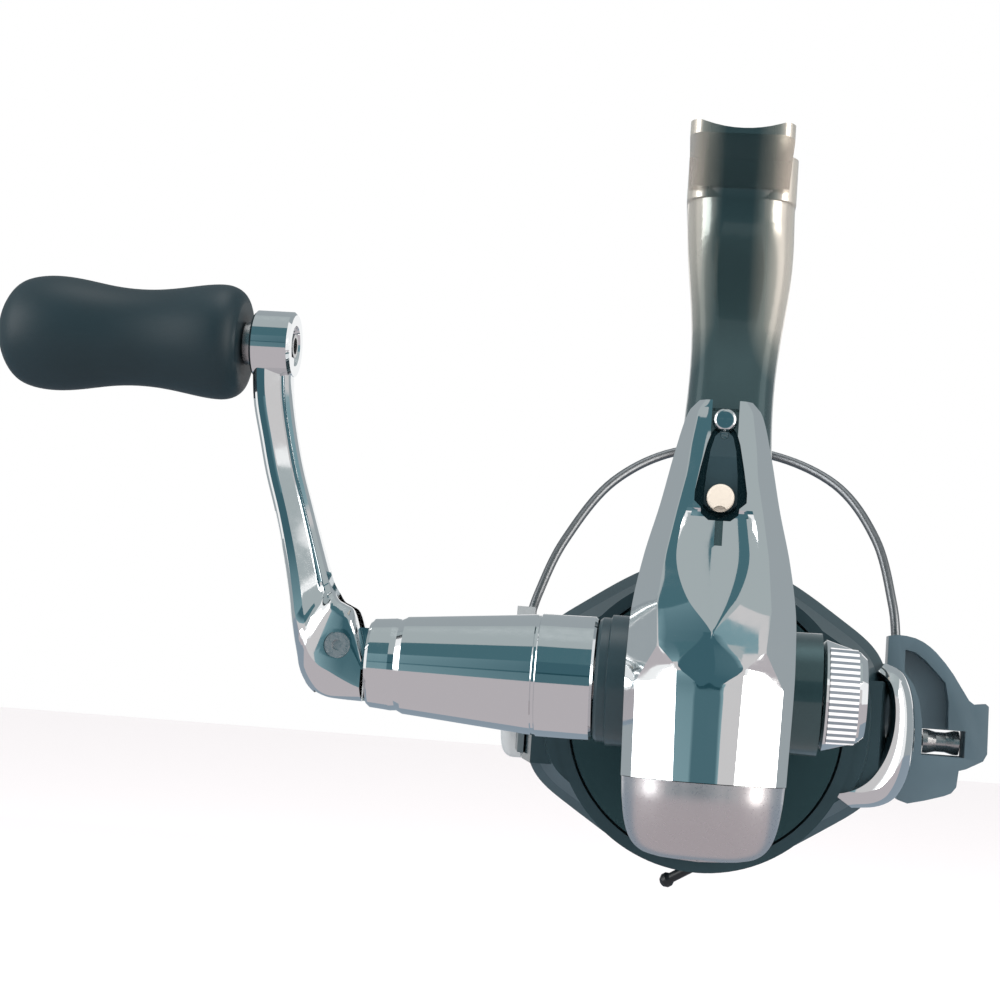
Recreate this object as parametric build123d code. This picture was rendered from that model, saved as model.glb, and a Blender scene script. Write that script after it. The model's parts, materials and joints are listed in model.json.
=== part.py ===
from build123d import *
import math
import os

# Open-face spinning reel. Sizes are millimetres.
# Every piece is drawn about the handle axle, where it crosses the middle plane of the reel:
# +X to the right seen from behind, +Y forward to the spool, +Z up to the rod.
# On export the reel moves so that the origin is the middle of the foot's saddle.
AXLE_TO_FOOT_Y = 22.0
AXLE_TO_FOOT_Z = 90.0
REEL_AT = Location((0, -AXLE_TO_FOOT_Y, -AXLE_TO_FOOT_Z))

# running clearances
FIT = 0.04
GAP = 0.2

# axes
SHAFT_Z = -6.0
BAIL_Y = 55.0
LEVER_Z = 39.5
KNOB_Z = 52.1
COVER_SCREW_Z = 42.1
FOLD_X = -60.2
FOLD_Z = 2.4

# gear train
GEAR_TEETH = 40
PINION_TEETH = 8
MESH_Y = 14.0
PINION_PITCH_R = MESH_Y * PINION_TEETH / GEAR_TEETH
PINION_TIP_R = PINION_PITCH_R + 0.7
PINION_ROOT_R = PINION_PITCH_R - 0.75
FACE_W = 3.0
CAVITY_R = 17.2
HUB_TEETH = 12
OSC_TEETH = 18
OSC_MODULE = 0.8
OSC_Z = -OSC_MODULE * (HUB_TEETH + OSC_TEETH) / 2
OSC_THROW = 5.5

# shafts
AXLE_R = 3.5
MAIN_R = 1.4
NECK_R = 2.6
SEAT_R = 3.0

# housing
COVER_WALL = 1.05
PLATE_X = 11.8
CAVITY_X = 10.4
FRONT_Y = 22.0
FLANGE_R = 23.3
LEFT_BOSS_R = 10.6
RIGHT_BOSS_R = 9.9
COVER_SPLIT_Z = -14.5

# foot and stem
FOOT_LONG = 64.0
FOOT_WIDE = 17.0
SADDLE_R = 20.0

# rotor, spool and bail
ROTOR_IN_R = 24.0
ROTOR_OUT_R = 26.0
SPOOL_R = 23.6
LIP_R = 24.4
ARM_IN_X = 27.5
ARM_OUT_X = 33.6
SPRING_X = ARM_IN_X + 3.7
SPRING_Z = SHAFT_Z + 3.6
WIRE_R = 0.9

os.makedirs("parts", exist_ok=True)


# ---------- drawing helpers ----------

def box(x0, x1, y0, y1, z0, z1):
    centre = Pos((x0 + x1) / 2, (y0 + y1) / 2, (z0 + z1) / 2)
    return centre * Box(x1 - x0, y1 - y0, z1 - z0)


def rod_x(r, x0, x1, y=0.0, z=0.0):
    return Pos((x0 + x1) / 2, y, z) * Rot(0, 90, 0) * Cylinder(r, x1 - x0)


def rod_y(r, y0, y1, x=0.0, z=SHAFT_Z):
    return Pos(x, (y0 + y1) / 2, z) * Rot(90, 0, 0) * Cylinder(r, y1 - y0)


def ring_x(r_in, r_out, x0, x1, y=0.0, z=0.0):
    return rod_x(r_out, x0, x1, y, z) - rod_x(r_in, x0 - 1, x1 + 1, y, z)


def ring_y(r_in, r_out, y0, y1, x=0.0, z=SHAFT_Z):
    return rod_y(r_out, y0, y1, x, z) - rod_y(r_in, y0 - 1, y1 + 1, x, z)


def turned_x(profile, y=0.0, z=0.0):
    """profile: (x, radius) corners, turned about a line along X."""
    face = make_face(Polyline([(x, 0, r) for x, r in profile], close=True))
    return Pos(0, y, z) * revolve(face, Axis.X)


def turned_y(profile, x=0.0, z=SHAFT_Z):
    """profile: (radius, y) corners, turned about a line along Y."""
    face = make_face(Polyline([(r, y, 0) for r, y in profile], close=True))
    return Pos(x, 0, z) * revolve(face, Axis.Y)


def slab_x(outline, x0, x1):
    """outline: (y, z) corners."""
    face = make_face(Polyline([(x0, y, z) for y, z in outline], close=True))
    return extrude(face, amount=x1 - x0, dir=(1, 0, 0))


def slab_y(outline, y0, y1):
    """outline: (x, z) corners."""
    face = make_face(Polyline([(x, y0, z) for x, z in outline], close=True))
    return extrude(face, amount=y1 - y0, dir=(0, 1, 0))


def mirrored(half):
    """closed outline from its right half, listed from top to bottom."""
    return half + [(-x, z) for x, z in reversed(half)]


def spur_teeth(teeth, module, width, x0, backlash, first_angle):
    """teeth of a gear on a line along X; an angle of 0 points to +Y and 90 to +Z."""
    pitch_r = teeth * module / 2
    root_r = pitch_r - 1.15 * module
    tip_r = pitch_r + 0.8 * module
    half = math.pi * module / 4 - backlash
    gear = rod_x(root_r, x0, x0 + width)
    corners = [(root_r - 0.3, -half * 1.35), (pitch_r, -half), (tip_r, -half * 0.5),
               (tip_r, half * 0.5), (pitch_r, half), (root_r - 0.3, half * 1.35)]
    for i in range(teeth):
        tooth = slab_x(corners, x0, x0 + width)
        gear += Rot(first_angle + 360 * i / teeth, 0, 0) * tooth
    return gear


def ball_ring(count, ball_r, ring_r):
    """balls of a bearing whose axis is Z."""
    return [loc * Sphere(ball_r) for loc in PolarLocations(ring_r, count)]


def ball_bearing(bore_r, outer_r, width, balls):
    """rings and balls, axis Z, centred."""
    wall = (outer_r - bore_r) * 0.28
    ring_r = (bore_r + outer_r) / 2
    ball_r = (outer_r - bore_r) / 2 - wall - 0.03
    inner = Cylinder(bore_r + wall, width) - Cylinder(bore_r, width + 1)
    outer = Cylinder(outer_r, width) - Cylinder(outer_r - wall, width + 1)
    return [inner, outer] + ball_ring(balls, ball_r, ring_r)


def placed(location, shapes):
    return [location * shape for shape in shapes]


def screw_y(x, z, y_head, head_r, length, shank_r):
    """pan-head screw along +Y, its cross-slotted head at the rear."""
    head = rod_y(head_r, y_head, y_head + 1.2, x, z)
    head = fillet(head.edges().sort_by(Axis.Y)[0], 0.6)
    slot = box(x - head_r * 0.6, x + head_r * 0.6, y_head - 1, y_head + 0.6, z - 0.22, z + 0.22)
    slot += box(x - 0.22, x + 0.22, y_head - 1, y_head + 0.6, z - head_r * 0.6, z + head_r * 0.6)
    return head + rod_y(shank_r, y_head + 1.1, y_head + length, x, z) - slot


def screw_x(y, z, x_head, side, head_r, length, shank_r):
    """countersunk screw along X; side is -1 when its head faces -X."""
    tip = x_head - side * length
    inner = x_head - side * 1.0
    head = rod_x(head_r, min(x_head, inner), max(x_head, inner), y, z)
    low = min(inner + side * 0.1, tip)
    shank = rod_x(shank_r, low, max(inner + side * 0.1, tip), y, z)
    bottom = x_head - side * 0.5
    top = x_head + side * 1.0
    slot = box(min(bottom, top), max(bottom, top), y - head_r * 0.6, y + head_r * 0.6, z - 0.2, z + 0.2)
    slot += box(min(bottom, top), max(bottom, top), y - 0.2, y + 0.2, z - head_r * 0.6, z + head_r * 0.6)
    return head + shank - slot


# ---------- housing shapes ----------

# sections of the reel's back: height, middle facet (x, y), panel edge (x, y), side edge (x, y)
BACK_SECTIONS = [
    (45.4, (2.4, -10.4), (3.2, -10.2), (4.2, -9.2)),
    (43.6, (2.6, -11.3), (4.0, -11.0), (5.8, -8.8)),
    (37.5, (3.2, -13.1), (4.6, -12.7), (7.5, -9.0)),
    (28.0, (4.5, -16.4), (6.1, -15.8), (9.4, -11.8)),
    (20.0, (5.0, -19.3), (7.0, -18.4), (11.3, -13.8)),
    (12.0, (4.5, -21.6), (8.0, -20.3), (12.6, -15.6)),
    (5.5, (4.6, -22.8), (8.6, -21.6), (12.9, -16.6)),
    (0.0, (5.2, -23.3), (11.3, -19.6), (12.95, -16.8)),
    (-14.5, (5.2, -22.8), (11.1, -19.1), (12.6, -16.4)),
    (-22.0, (5.4, -20.9), (10.0, -18.6), (11.6, -15.8)),
    (-25.4, (5.0, -17.7), (8.2, -16.6), (9.6, -14.4)),
    (-26.8, (4.2, -14.4), (5.8, -13.8), (6.8, -12.4))]
BACK_FRONT_Y = 6.0
PLATE_OUTLINE = [(-18.8, -3), (-18.8, -21.8), (-16.0, -24.2), (14, -23.4), (19, -19.5), (19, 10), (15.5, 18),
                 (8, 20.5), (-10, 20.5), (-17.0, 14.0)]
COVER_FRONT = [(-40.0, -40.0), (3.0, -40.0), (3.0, 12.0), (-3.0, 30.0), (-7.0, 50.0), (-40.0, 50.0)]


def reel_back(inset):
    """the faceted wedge of the reel's back, shrunk by inset on every side."""
    top = BACK_SECTIONS[0][0]
    bottom = BACK_SECTIONS[-1][0]
    wires = []
    for z, middle, panel, side in BACK_SECTIONS:
        half = [(side[0] - inset, BACK_FRONT_Y), (side[0] - inset, side[1] + 0.5 * inset),
                (panel[0] - 0.6 * inset, panel[1] + 0.8 * inset), (middle[0] - 0.2 * inset, middle[1] + inset)]
        level = min(max(z, bottom + inset), top - inset)
        corners = half + [(-x, y) for x, y in reversed(half)]
        wires.append(make_face(Polyline([(x, y, level) for x, y in corners], close=True)))
    return loft(wires, ruled=True)


def body_frame():
    """foot, stem and gear housing, one casting."""
    inner = COVER_WALL + 0.1
    frame = reel_back(inner) & box(-PLATE_X, PLATE_X, -30, 4, -30, 50)
    flank = mirrored([(8.2, 27), (10.2, 19), (PLATE_X - 0.3, 10), (PLATE_X, 0), (PLATE_X - 0.4, -20), (8.0, -25.4)])
    flank_side = [(3, 27), (17, 25), (FRONT_Y, 16), (FRONT_Y, -22), (16, -24), (3, -25.6)]
    frame += slab_y(flank, 0, FRONT_Y) & slab_x(flank_side, -20, 20)
    frame += rod_y(18.0, 12.0, FRONT_Y)
    frame += rod_y(FLANGE_R, FRONT_Y, FRONT_Y + 3.2)
    frame -= rod_y(FLANGE_R - 1.6, FRONT_Y + 1.6, FRONT_Y + 4)
    frame += stem()
    frame += foot()
    frame += rod_x(RIGHT_BOSS_R, PLATE_X - 1.5, 17.7)
    frame -= slab_x(PLATE_OUTLINE, -30, -CAVITY_X)
    frame -= lever_pocket()
    for hollow in gear_room() + bearing_seats() + screw_holes():
        frame -= hollow
    return frame


def stem():
    """the leg between the housing and the foot, its sections from bottom to top."""
    sections = [(24, 0.4, 2.0, 18.0, 28.0), (34, 0.5, 2.5, 15.2, 23.0), (45, 0.6, 4.5, 14.2, 19.0),
                (56, 1.0, 8.0, 14.6, 15.5), (67, 1.2, 13.0, 16.8, 14.5), (77, 0.9, 18.0, 18.4, 18.0),
                (85.5, 0.6, 21.5, 18.8, 26.0)]
    faces = []
    for z, x, y, wide, deep in sections:
        radius = min(wide, deep) * 0.32
        faces.append(Pos(x, y, z) * RectangleRounded(wide, deep, radius))
    return loft(faces)


def foot():
    """the foot, with a saddle that seats on the rod."""
    rear = AXLE_TO_FOOT_Y - FOOT_LONG / 2
    front = AXLE_TO_FOOT_Y + FOOT_LONG / 2
    top = AXLE_TO_FOOT_Z
    side = [(rear, top + 3), (rear, top - 0.9), (rear + 10, top - 2.4), (rear + 18, top - 5),
            (front - 18, top - 5), (front - 10, top - 2.4), (front, top - 0.9), (front, top + 3)]
    blade = slab_x(side, -FOOT_WIDE / 2, FOOT_WIDE / 2)
    blade = fillet(blade.edges().filter_by(Axis.Z), 2.5)
    pad = box(-8.8, 10.0, 9, 35, top - 6.5, top + 3)
    pad = fillet(pad.edges().filter_by(Axis.Z), 4)
    saddle = rod_y(SADDLE_R, rear - 5, front + 5, 0, top + SADDLE_R)
    lid = box(-20, 20, rear - 5, front + 5, top + 1.3, top + 10)
    return blade + pad - saddle - lid


def gear_room():
    """the room for the gears, open on the left under the side cover."""
    return [rod_x(CAVITY_R, -20, 8.6), rod_x(15.0, 8, CAVITY_X), box(-20, CAVITY_X, -18.6, 16.5, -21.5, -3)]


LEVER_POCKET = [(1.0, 41.3), (1.9, 40.2), (2.6, 38.0), (3.4, 34.0), (4.05, 30.2), (4.05, 28.6), (3.0, 27.6),
                (2.9, 26.6), (1.7, 25.6)]


def lever_pocket():
    """the tapered slot in which the anti-reverse lever swings."""
    return slab_y(mirrored(LEVER_POCKET), -40, -9.2)


def bearing_seats():
    axle = rod_x(6.6, CAVITY_X - 1, 16.2) + rod_x(AXLE_R + 0.6, 15, 20)
    neck = rod_y(6.5, 18.0, FRONT_Y + 1.7) + rod_y(4.2, 15.0, 18.5)
    pin = rod_x(1.0, CAVITY_X - 1, 11.4, 0, OSC_Z)
    return [axle, neck, pin]


def screw_holes():
    cover = rod_y(0.8, -12, -5.2, 0, COVER_SCREW_Z) + rod_y(2.0, -14.0, -10.6, 0, COVER_SCREW_Z)
    lever = rod_y(0.65, -10, -5.0, 0, LEVER_Z)
    sides = [rod_x(0.85, -CAVITY_X - 2, -5.0, y, z) for y, z in side_screw_spots()]
    clutch = [rod_y(0.75, FRONT_Y - 3, FRONT_Y + 5, x, z) for x, z in clutch_screw_spots()]
    return [cover, lever] + sides + clutch


def side_screw_spots():
    return [(14.4, 13.6), (5.2, 18.3), (17.0, -18.6)]


def clutch_screw_spots():
    return [(10.5 * math.cos(math.radians(a)), SHAFT_Z + 10.5 * math.sin(math.radians(a)))
            for a in (30, 150, 270)]


def side_cover():
    """left wall of the gear housing, with the boss of the handle bearing."""
    wall = reel_back(COVER_WALL + 0.1) + box(-20, 0, 3.1, 21.5, -25, 21)
    plate = slab_x(PLATE_OUTLINE, -PLATE_X, -CAVITY_X) & wall
    boss = turned_x([(-18.0, AXLE_R + 0.6), (-18.0, 9.7), (-17.5, 10.1), (-16.2, 10.1), (-16.0, LEFT_BOSS_R),
                     (-CAVITY_X, LEFT_BOSS_R), (-CAVITY_X, AXLE_R + 0.6)])
    cover = plate + boss - rod_x(6.6, -16.8, -8)
    for y, z in side_screw_spots():
        cover -= rod_x(0.95, -14, -8, y, z)
        cover -= rod_x(1.75, -14, -PLATE_X + 1.0, y, z)
    return cover


def rear_shell():
    """the bright shell that wraps the reel's back."""
    shell = reel_back(0) - reel_back(COVER_WALL)
    shell = shell & slab_x(COVER_FRONT, -20, 20)
    shell -= rod_x(LEFT_BOSS_R + 0.3, -20, -8)
    shell -= rod_x(RIGHT_BOSS_R + 0.3, 8, 20)
    return shell


def rear_cover(frame):
    shell = rear_shell() & box(-20, 20, -40, 10, COVER_SPLIT_Z, 50)
    shell -= lever_pocket()
    shell -= box(-2.15, 2.15, -40, -5, 39.5, 50)
    return largest(shell - frame)


def rear_bumper(frame):
    shell = rear_shell() & box(-20, 20, -40, 10, -30, COVER_SPLIT_Z - 0.1)
    return largest(shell - frame)


def largest(shape):
    return max(shape.solids(), key=lambda solid: solid.volume)


# ---------- anti-reverse ----------

def anti_reverse_lever():
    outline = mirrored([(0.6, 40.1), (1.4, 39.3), (2.0, 37.0), (2.45, 33.0), (2.6, 30.0), (2.6, 28.4), (1.4, 27.4)])
    lever = slab_y(outline, -13.4, -9.6)
    lever = lever & slab_x([(-9, 41), (-12.2, 41), (-13.4, 36), (-13.4, 27), (-9, 27)], -5, 5)
    return lever - rod_y(0.65, -15, -8, 0, LEVER_Z)


def lever_stud():
    stud = rod_y(2.15, -15.8, -13.4, 0, 29.3)
    stud = fillet(stud.edges().sort_by(Axis.Y)[0], 0.5)
    return stud - rod_y(1.3, -16.5, -14.4, 0, 26.7)


def lever_pin():
    return rod_y(0.6, -12.6, -5.2, 0, LEVER_Z)


# ---------- handle axle and gears ----------

def handle_axle():
    """hollow axle through the housing, with flats for the drive gear."""
    axle = rod_x(AXLE_R, -52.0, 17.2)
    axle -= rod_x(1.9, 2.0, 20.0)
    for side in (-1, 1):
        low = min(side * 2.9, side * 5.0)
        axle -= box(-52.1, -40, low, low + 2.1, -5, 5)
    return axle


def drive_gear():
    """face gear: straight teeth, each in line with the pinion where it meshes."""
    tip_x = -(PINION_ROOT_R + 0.55)
    root_x = -(PINION_TIP_R + 0.3)
    inner_r = math.hypot(MESH_Y - FACE_W / 2, SHAFT_Z)
    outer_r = math.hypot(MESH_Y + FACE_W / 2, SHAFT_Z)
    gear = turned_x([(-9.0, AXLE_R), (-9.0, 5.6), (root_x - 1.6, 5.6), (root_x - 1.6, inner_r - 1.0),
                     (root_x - 2.0, inner_r - 0.4), (root_x - 2.0, outer_r), (root_x, outer_r),
                     (root_x, inner_r - 0.6), (root_x - 0.6, inner_r - 1.0), (root_x - 0.6, AXLE_R)])
    section = [(root_x - 0.3, 0.27), (tip_x, 0.12), (tip_x, -0.12), (root_x - 0.3, -0.27)]
    y0 = MESH_Y - FACE_W / 2 - 1.2
    y1 = MESH_Y + FACE_W / 2 + 1.2
    face = make_face(Polyline([(x, y0, SHAFT_Z + z) for x, z in section], close=True))
    tooth = extrude(face, amount=y1 - y0, dir=(0, 1, 0)) & ring_x(inner_r - 0.1, outer_r - 0.02, root_x - 1, tip_x + 1)
    for i in range(GEAR_TEETH):
        gear += Rot(360 * (i + 0.5) / GEAR_TEETH, 0, 0) * tooth
    return gear


def hub_gear():
    """small gear on the axle that drives the spool's in-and-out motion."""
    gear = spur_teeth(HUB_TEETH, OSC_MODULE, 3.0, 5.2, 0.12, 90 + 180 / HUB_TEETH)
    return gear + rod_x(4.3, 4.2, 5.3) - rod_x(AXLE_R, 0, 12)


def oscillation_gear():
    gear = spur_teeth(OSC_TEETH, OSC_MODULE, 2.6, 5.4, 0.12, 90)
    gear += rod_x(2.2, 7.9, CAVITY_X - 0.2)
    gear += rod_x(1.1, 3.2, 5.5, 0, OSC_THROW)
    gear = Pos(0, 0, OSC_Z) * gear
    return gear - rod_x(1.0, 4.0, 12.0, 0, OSC_Z)


def oscillation_pin():
    return rod_x(1.0 - FIT, 5.5, 11.4, 0, OSC_Z)


def pinion():
    """toothed tube around the main shaft; its front end carries the rotor."""
    y0 = MESH_Y - FACE_W / 2
    y1 = MESH_Y + FACE_W / 2
    gear = rod_y(PINION_ROOT_R, y0, 17.2)
    corners = [(PINION_ROOT_R - 0.3, 0.48), (PINION_PITCH_R, 0.34), (PINION_TIP_R, 0.12),
               (PINION_TIP_R, -0.12), (PINION_PITCH_R, -0.34), (PINION_ROOT_R - 0.3, -0.48)]
    tooth = slab_y(corners, y0, y1)
    for i in range(PINION_TEETH):
        gear += Pos(0, 0, SHAFT_Z) * Rot(0, 360 * i / PINION_TEETH, 0) * tooth
    gear += rod_y(SEAT_R - FIT, 17.1, 23.8)
    gear += rod_y(NECK_R, 23.7, 37.6)
    return gear - rod_y(MAIN_R + FIT, y0 - 1, 40)


def pinion_bearing():
    return placed(Pos(0, 20.6, SHAFT_Z) * Rot(90, 0, 0), ball_bearing(SEAT_R, 6.46, 4.6, 8))


def axle_bearing(x):
    return placed(Pos(x, 0, 0) * Rot(0, 90, 0), ball_bearing(AXLE_R + FIT, 6.56, 4.2, 9))


def one_way_clutch():
    """outer ring with ramps and its rollers."""
    y0 = FRONT_Y + 1.7
    housing = ring_y(7.9, 12.4, y0, 29.0)
    housing += ring_y(5.4, 12.4, y0, y0 + 0.9)
    for x, z in clutch_screw_spots():
        housing -= rod_y(0.8, y0 - 1, 30, x, z)
        housing -= rod_y(1.5, 28.0, 30, x, z)
    return housing


def clutch_rollers():
    spots = PolarLocations(6.45, 6)
    return [Pos(0, 26.8, SHAFT_Z) * Rot(90, 0, 0) * spot * Cylinder(1.25, 4.0) for spot in spots]


def clutch_sleeve():
    return ring_y(NECK_R, 5.1, 24.0, 29.9)


def clutch_screws():
    screws = []
    for x, z in clutch_screw_spots():
        head = rod_y(1.4, 28.1, 29.0, x, z)
        shank = rod_y(0.7, FRONT_Y - 2.6, 28.2, x, z)
        socket = Pos(x, 29.0, z) * Rot(90, 0, 0) * extrude(RegularPolygon(0.7, 6), amount=0.5, both=True)
        screws.append(head + shank - socket)
    return screws


# ---------- main shaft ----------

def main_shaft():
    shaft = rod_y(MAIN_R, -11.0, 84.0)
    shaft -= box(-4, 4, 83.0 - 9, 86, SHAFT_Z + 1.2, SHAFT_Z + 4)
    return shaft - rod_x(0.5, -3, 3, 49.0, SHAFT_Z)


def slider():
    """block on the shaft's rear end, with the slot for the oscillation gear's pin."""
    plate = box(1.2, 2.8, -3.4, 3.4, OSC_Z - 7.6, -3.9)
    plate += box(-1.9, 1.3, -11.0, 3.4, -21.0, -3.9)
    plate += box(1.2, 2.8, -11.0, -3.3, OSC_Z - 7.6, -3.9)
    plate -= box(1.9, 3.0, -1.35, 1.35, OSC_Z - 6.9, OSC_Z + 6.9)
    plate -= rod_y(MAIN_R, -12.0, 12.0)
    return plate - rod_y(1.0 + FIT, -12, 12, -0.7, -19.4)


def guide_rod():
    return rod_y(1.0, -18.6, 16.5, -0.7, -19.4)


def slider_screw():
    return screw_y(0.0, SHAFT_Z, -12.3, 2.0, 1.3, 0.5)


def cross_pin():
    return rod_x(0.5, -2.6, 2.6, 49.0, SHAFT_Z)


def click_gear():
    gear = ring_y(MAIN_R, 8.0, 47.2, 48.4)
    tooth = slab_y([(7.8, -0.6), (8.9, 0.0), (7.8, 0.6)], 47.2, 48.4)
    for i in range(24):
        gear += Pos(0, 0, SHAFT_Z) * Rot(0, 15 * i, 0) * tooth
    return gear


def spool_shims():
    return [ring_y(MAIN_R, 3.4, y, y + 0.5) for y in (49.8, 50.5, 51.2)]


def spool_bush():
    return ring_y(MAIN_R, 3.0, 52.0, 66.4)


# ---------- rotor ----------

SHOULDER_HALF = [(9.0, 22.3), (14.6, 19.8), (24.0, 13.7), (30.2, 8.4), (32.6, 1.6), (32.9, -6.0), (32.3, -12.0),
                 (30.2, -17.4), (25.0, -21.9), (18.0, -26.4), (10.0, -30.9)]
SHOULDER_TOP = 23.6
SHOULDER_BOTTOM = -32.8


def shoulder_face(y, grow):
    """outline of the rotor's shoulders, round above and below and drawn out to both arms."""
    half = [(0.0, SHOULDER_TOP)] + SHOULDER_HALF + [(0.0, SHOULDER_BOTTOM)]
    outline = half + [(-x, z) for x, z in reversed(SHOULDER_HALF)]
    points = []
    for x, z in outline:
        r = math.hypot(x, z - SHAFT_Z)
        scale = (r + grow) / r
        points.append((x * scale, y, SHAFT_Z + (z - SHAFT_Z) * scale))
    return make_face(Spline(points, periodic=True))


def shoulders():
    """the shoulders as one solid block."""
    block = loft([shoulder_face(27.0, -4.6), shoulder_face(34.0, -2.0), shoulder_face(37.6, 0)], ruled=True)
    return block + extrude(shoulder_face(37.6, 0), amount=1.6, dir=(0, 1, 0))


def rotor():
    """cup, shoulders and the two arms that carry the bail."""
    body = shoulders()
    body += rod_y(ROTOR_OUT_R, 25.4, 35.0)
    body -= rod_y(ROTOR_IN_R, 20.0, 30.0)
    body -= rod_y(24.6, 33.0, 50.0)
    body += ring_y(19.8, 21.4, 32.9, 44.0)
    for side in (-1, 1):
        body += rotor_arm(side)
    body += rod_y(7.0, 29.9, 34.0)
    for a in (60, 120, 240, 300):
        turn = math.radians(a)
        body -= rod_y(3.4, 28, 36, 13.8 * math.cos(turn), SHAFT_Z + 13.8 * math.sin(turn))
    body -= rod_y(NECK_R, 20, 40)
    body -= box(ARM_IN_X + 2.0, ARM_OUT_X + 0.1, 38.0, 47.0, SHAFT_Z - 7.2, SHAFT_Z + 7.2)
    body -= spring_pocket()
    body -= line_peg()
    return largest(body)


ARM_PLAN = [(26.0, 28.0), (30.4, 28.0), (32.6, 37.0), (ARM_OUT_X, 44.0), (ARM_OUT_X, 64.0), (ARM_IN_X, 64.0),
            (ARM_IN_X, 42.0), (26.0, 39.0)]


def plan(outline, side):
    """(x, y) corners, on the side's half, as a tall prism."""
    face = make_face(Polyline([(side * x, y, -40) for x, y in outline], close=True))
    return extrude(face, amount=80, dir=(0, 0, 1))


def rotor_arm(side):
    """one arm: a blade with a round end at the bail axis."""
    outline = [(28.0, SHAFT_Z - 9.4), (28.0, SHAFT_Z + 9.4), (44.0, SHAFT_Z + 8.8), (BAIL_Y, SHAFT_Z + 8.0),
               (BAIL_Y, SHAFT_Z - 8.0), (44.0, SHAFT_Z - 8.8)]
    x0, x1 = sorted((side * 24.0, side * ARM_OUT_X))
    blade = slab_x(outline, x0, x1) + rod_x(8.0, x0, x1, BAIL_Y, SHAFT_Z)
    return (blade & plan(ARM_PLAN, side)) - rod_x(1.25, x0 - 1, x1 + 1, BAIL_Y, SHAFT_Z)


def spring_pocket():
    """recess in the right arm for the bail spring."""
    return box(ARM_IN_X + 2.0, ARM_OUT_X + 0.1, 46.9, 49.5, SHAFT_Z + 1.6, SHAFT_Z + 5.6)


def arm_cover():
    """bright cover that wraps the right arm's root."""
    outline = [(29.0, 7.4), (34.4, 5.6), (36.7, 0.8), (37.2, -6.0), (36.4, -12.6), (33.6, -17.2), (28.6, -18.8),
               (26.5, -12.0), (27.5, -2.0)]
    shell = slab_y(outline, 28.0, 44.4)
    side = [(26.0, 28.0), (31.0, 28.0), (35.6, 31.0), (37.2, 37.0), (36.4, 41.4), (36.35, 44.4), (26.0, 44.4)]
    root = [(20, 27), (30.5, 27)] + ARM_PLAN[2:4] + [(ARM_OUT_X + 0.05, 50), (20, 50)]
    shell = (shell & plan(side, 1)) - shoulders() - plan(root, 1)
    return largest(shell)


def left_arm_cover():
    outline = [(31.0, SHAFT_Z - 8.2), (31.0, SHAFT_Z + 8.2), (44.6, SHAFT_Z + 7.6), (44.6, SHAFT_Z - 7.6)]
    shell = slab_x(outline, -36, -28)
    bent = [(32.65, 37.0), (ARM_OUT_X + 0.05, 44.0), (ARM_OUT_X + 0.05, 44.6), (ARM_OUT_X + 1.0, 44.6),
            (ARM_OUT_X + 1.0, 43.6), (33.6, 36.8), (32.2, 33.5)]
    return largest((shell & plan(bent, -1)) - shoulders())


def rotor_nut():
    nut = Pos(0, 34.0, SHAFT_Z) * Rot(-90, 0, 0) * extrude(RegularPolygon(5.0, 6), amount=3.2)
    return nut - rod_y(NECK_R, 30, 40)


def line_peg():
    """short peg with a ball end under the rotor, which holds the loose end of a line."""
    start = Vector(-0.8, 34.5, SHAFT_Z - 25.9)
    tip = Vector(-5.0, 36.5, SHAFT_Z - 28.6)
    long = (tip - start).length
    outline = [(0.0, 0.0), (0.9, 0.0), (0.9, long - 1.0), (1.3, long - 0.35), (1.3, long + 0.35), (0.9, long + 1.0),
               (0.35, long + 1.3), (0.0, long + 1.3)]
    profile = make_face(Polyline([(r, 0, h) for r, h in outline], close=True))
    return Plane(origin=start, z_dir=tip - start).location * revolve(profile, Axis.Z)


# ---------- bail ----------

def bail_arm():
    """bracket of the line roller, hinged on the outside of the right arm."""
    x0 = ARM_OUT_X + 0.25
    arm = rod_x(8.2, x0, x0 + 3.0, BAIL_Y, SHAFT_Z)
    outline = [(x0, 12.8), (37.2, 12.8), (40.3, 11.9), (42.9, 10.0), (46.2, 6.2), (49.4, 1.4), (50.4, 0.6),
               (52.6, 1.0), (53.2, 0.4), (53.2, -8.6), (52.4, -9.8), (49.4, -11.5), (48.0, -11.8), (47.7, -15.0),
               (45.8, -16.7), (42.1, -17.9), (38.8, -18.8), (36.6, -17.6), (36.6, -9.0), (x0, -9.0)]
    bracket = slab_y(outline, 57.4, 62.4)
    bracket -= box(39.8, 42.4, 50, 70, -3.6, 5.0)
    bracket -= rod_x(2.6, 41.2, 48.6, 62.0, -6.8) + box(41.2, 48.6, 62.0, 70, -9.4, -4.2)
    bracket -= rod_x(0.9, 38.0, 51.4, 62.0, -6.8) + box(38.0, 51.4, 62.0, 70, -7.7, -5.9)
    arm += bracket
    arm -= rod_x(1.25, 30, 40, BAIL_Y, SHAFT_Z)
    arm -= rod_x(2.5, x0 + 1.9, 40, BAIL_Y, SHAFT_Z)
    return largest(arm - bail_wire())


def line_roller():
    roller = turned_x([(41.5, 1.3), (41.5, 2.3), (42.4, 2.3), (44.0, 1.9), (45.8, 1.9), (47.4, 2.3), (48.3, 2.3),
                       (48.3, 1.3)], 62.0, -6.8)
    return roller


def roller_pin():
    return rod_x(0.9, 38.1, 51.3, 62.0, -6.8)


def roller_bush():
    return ring_x(0.9, 1.3 - FIT, 41.5, 48.3, 62.0, -6.8)


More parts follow.
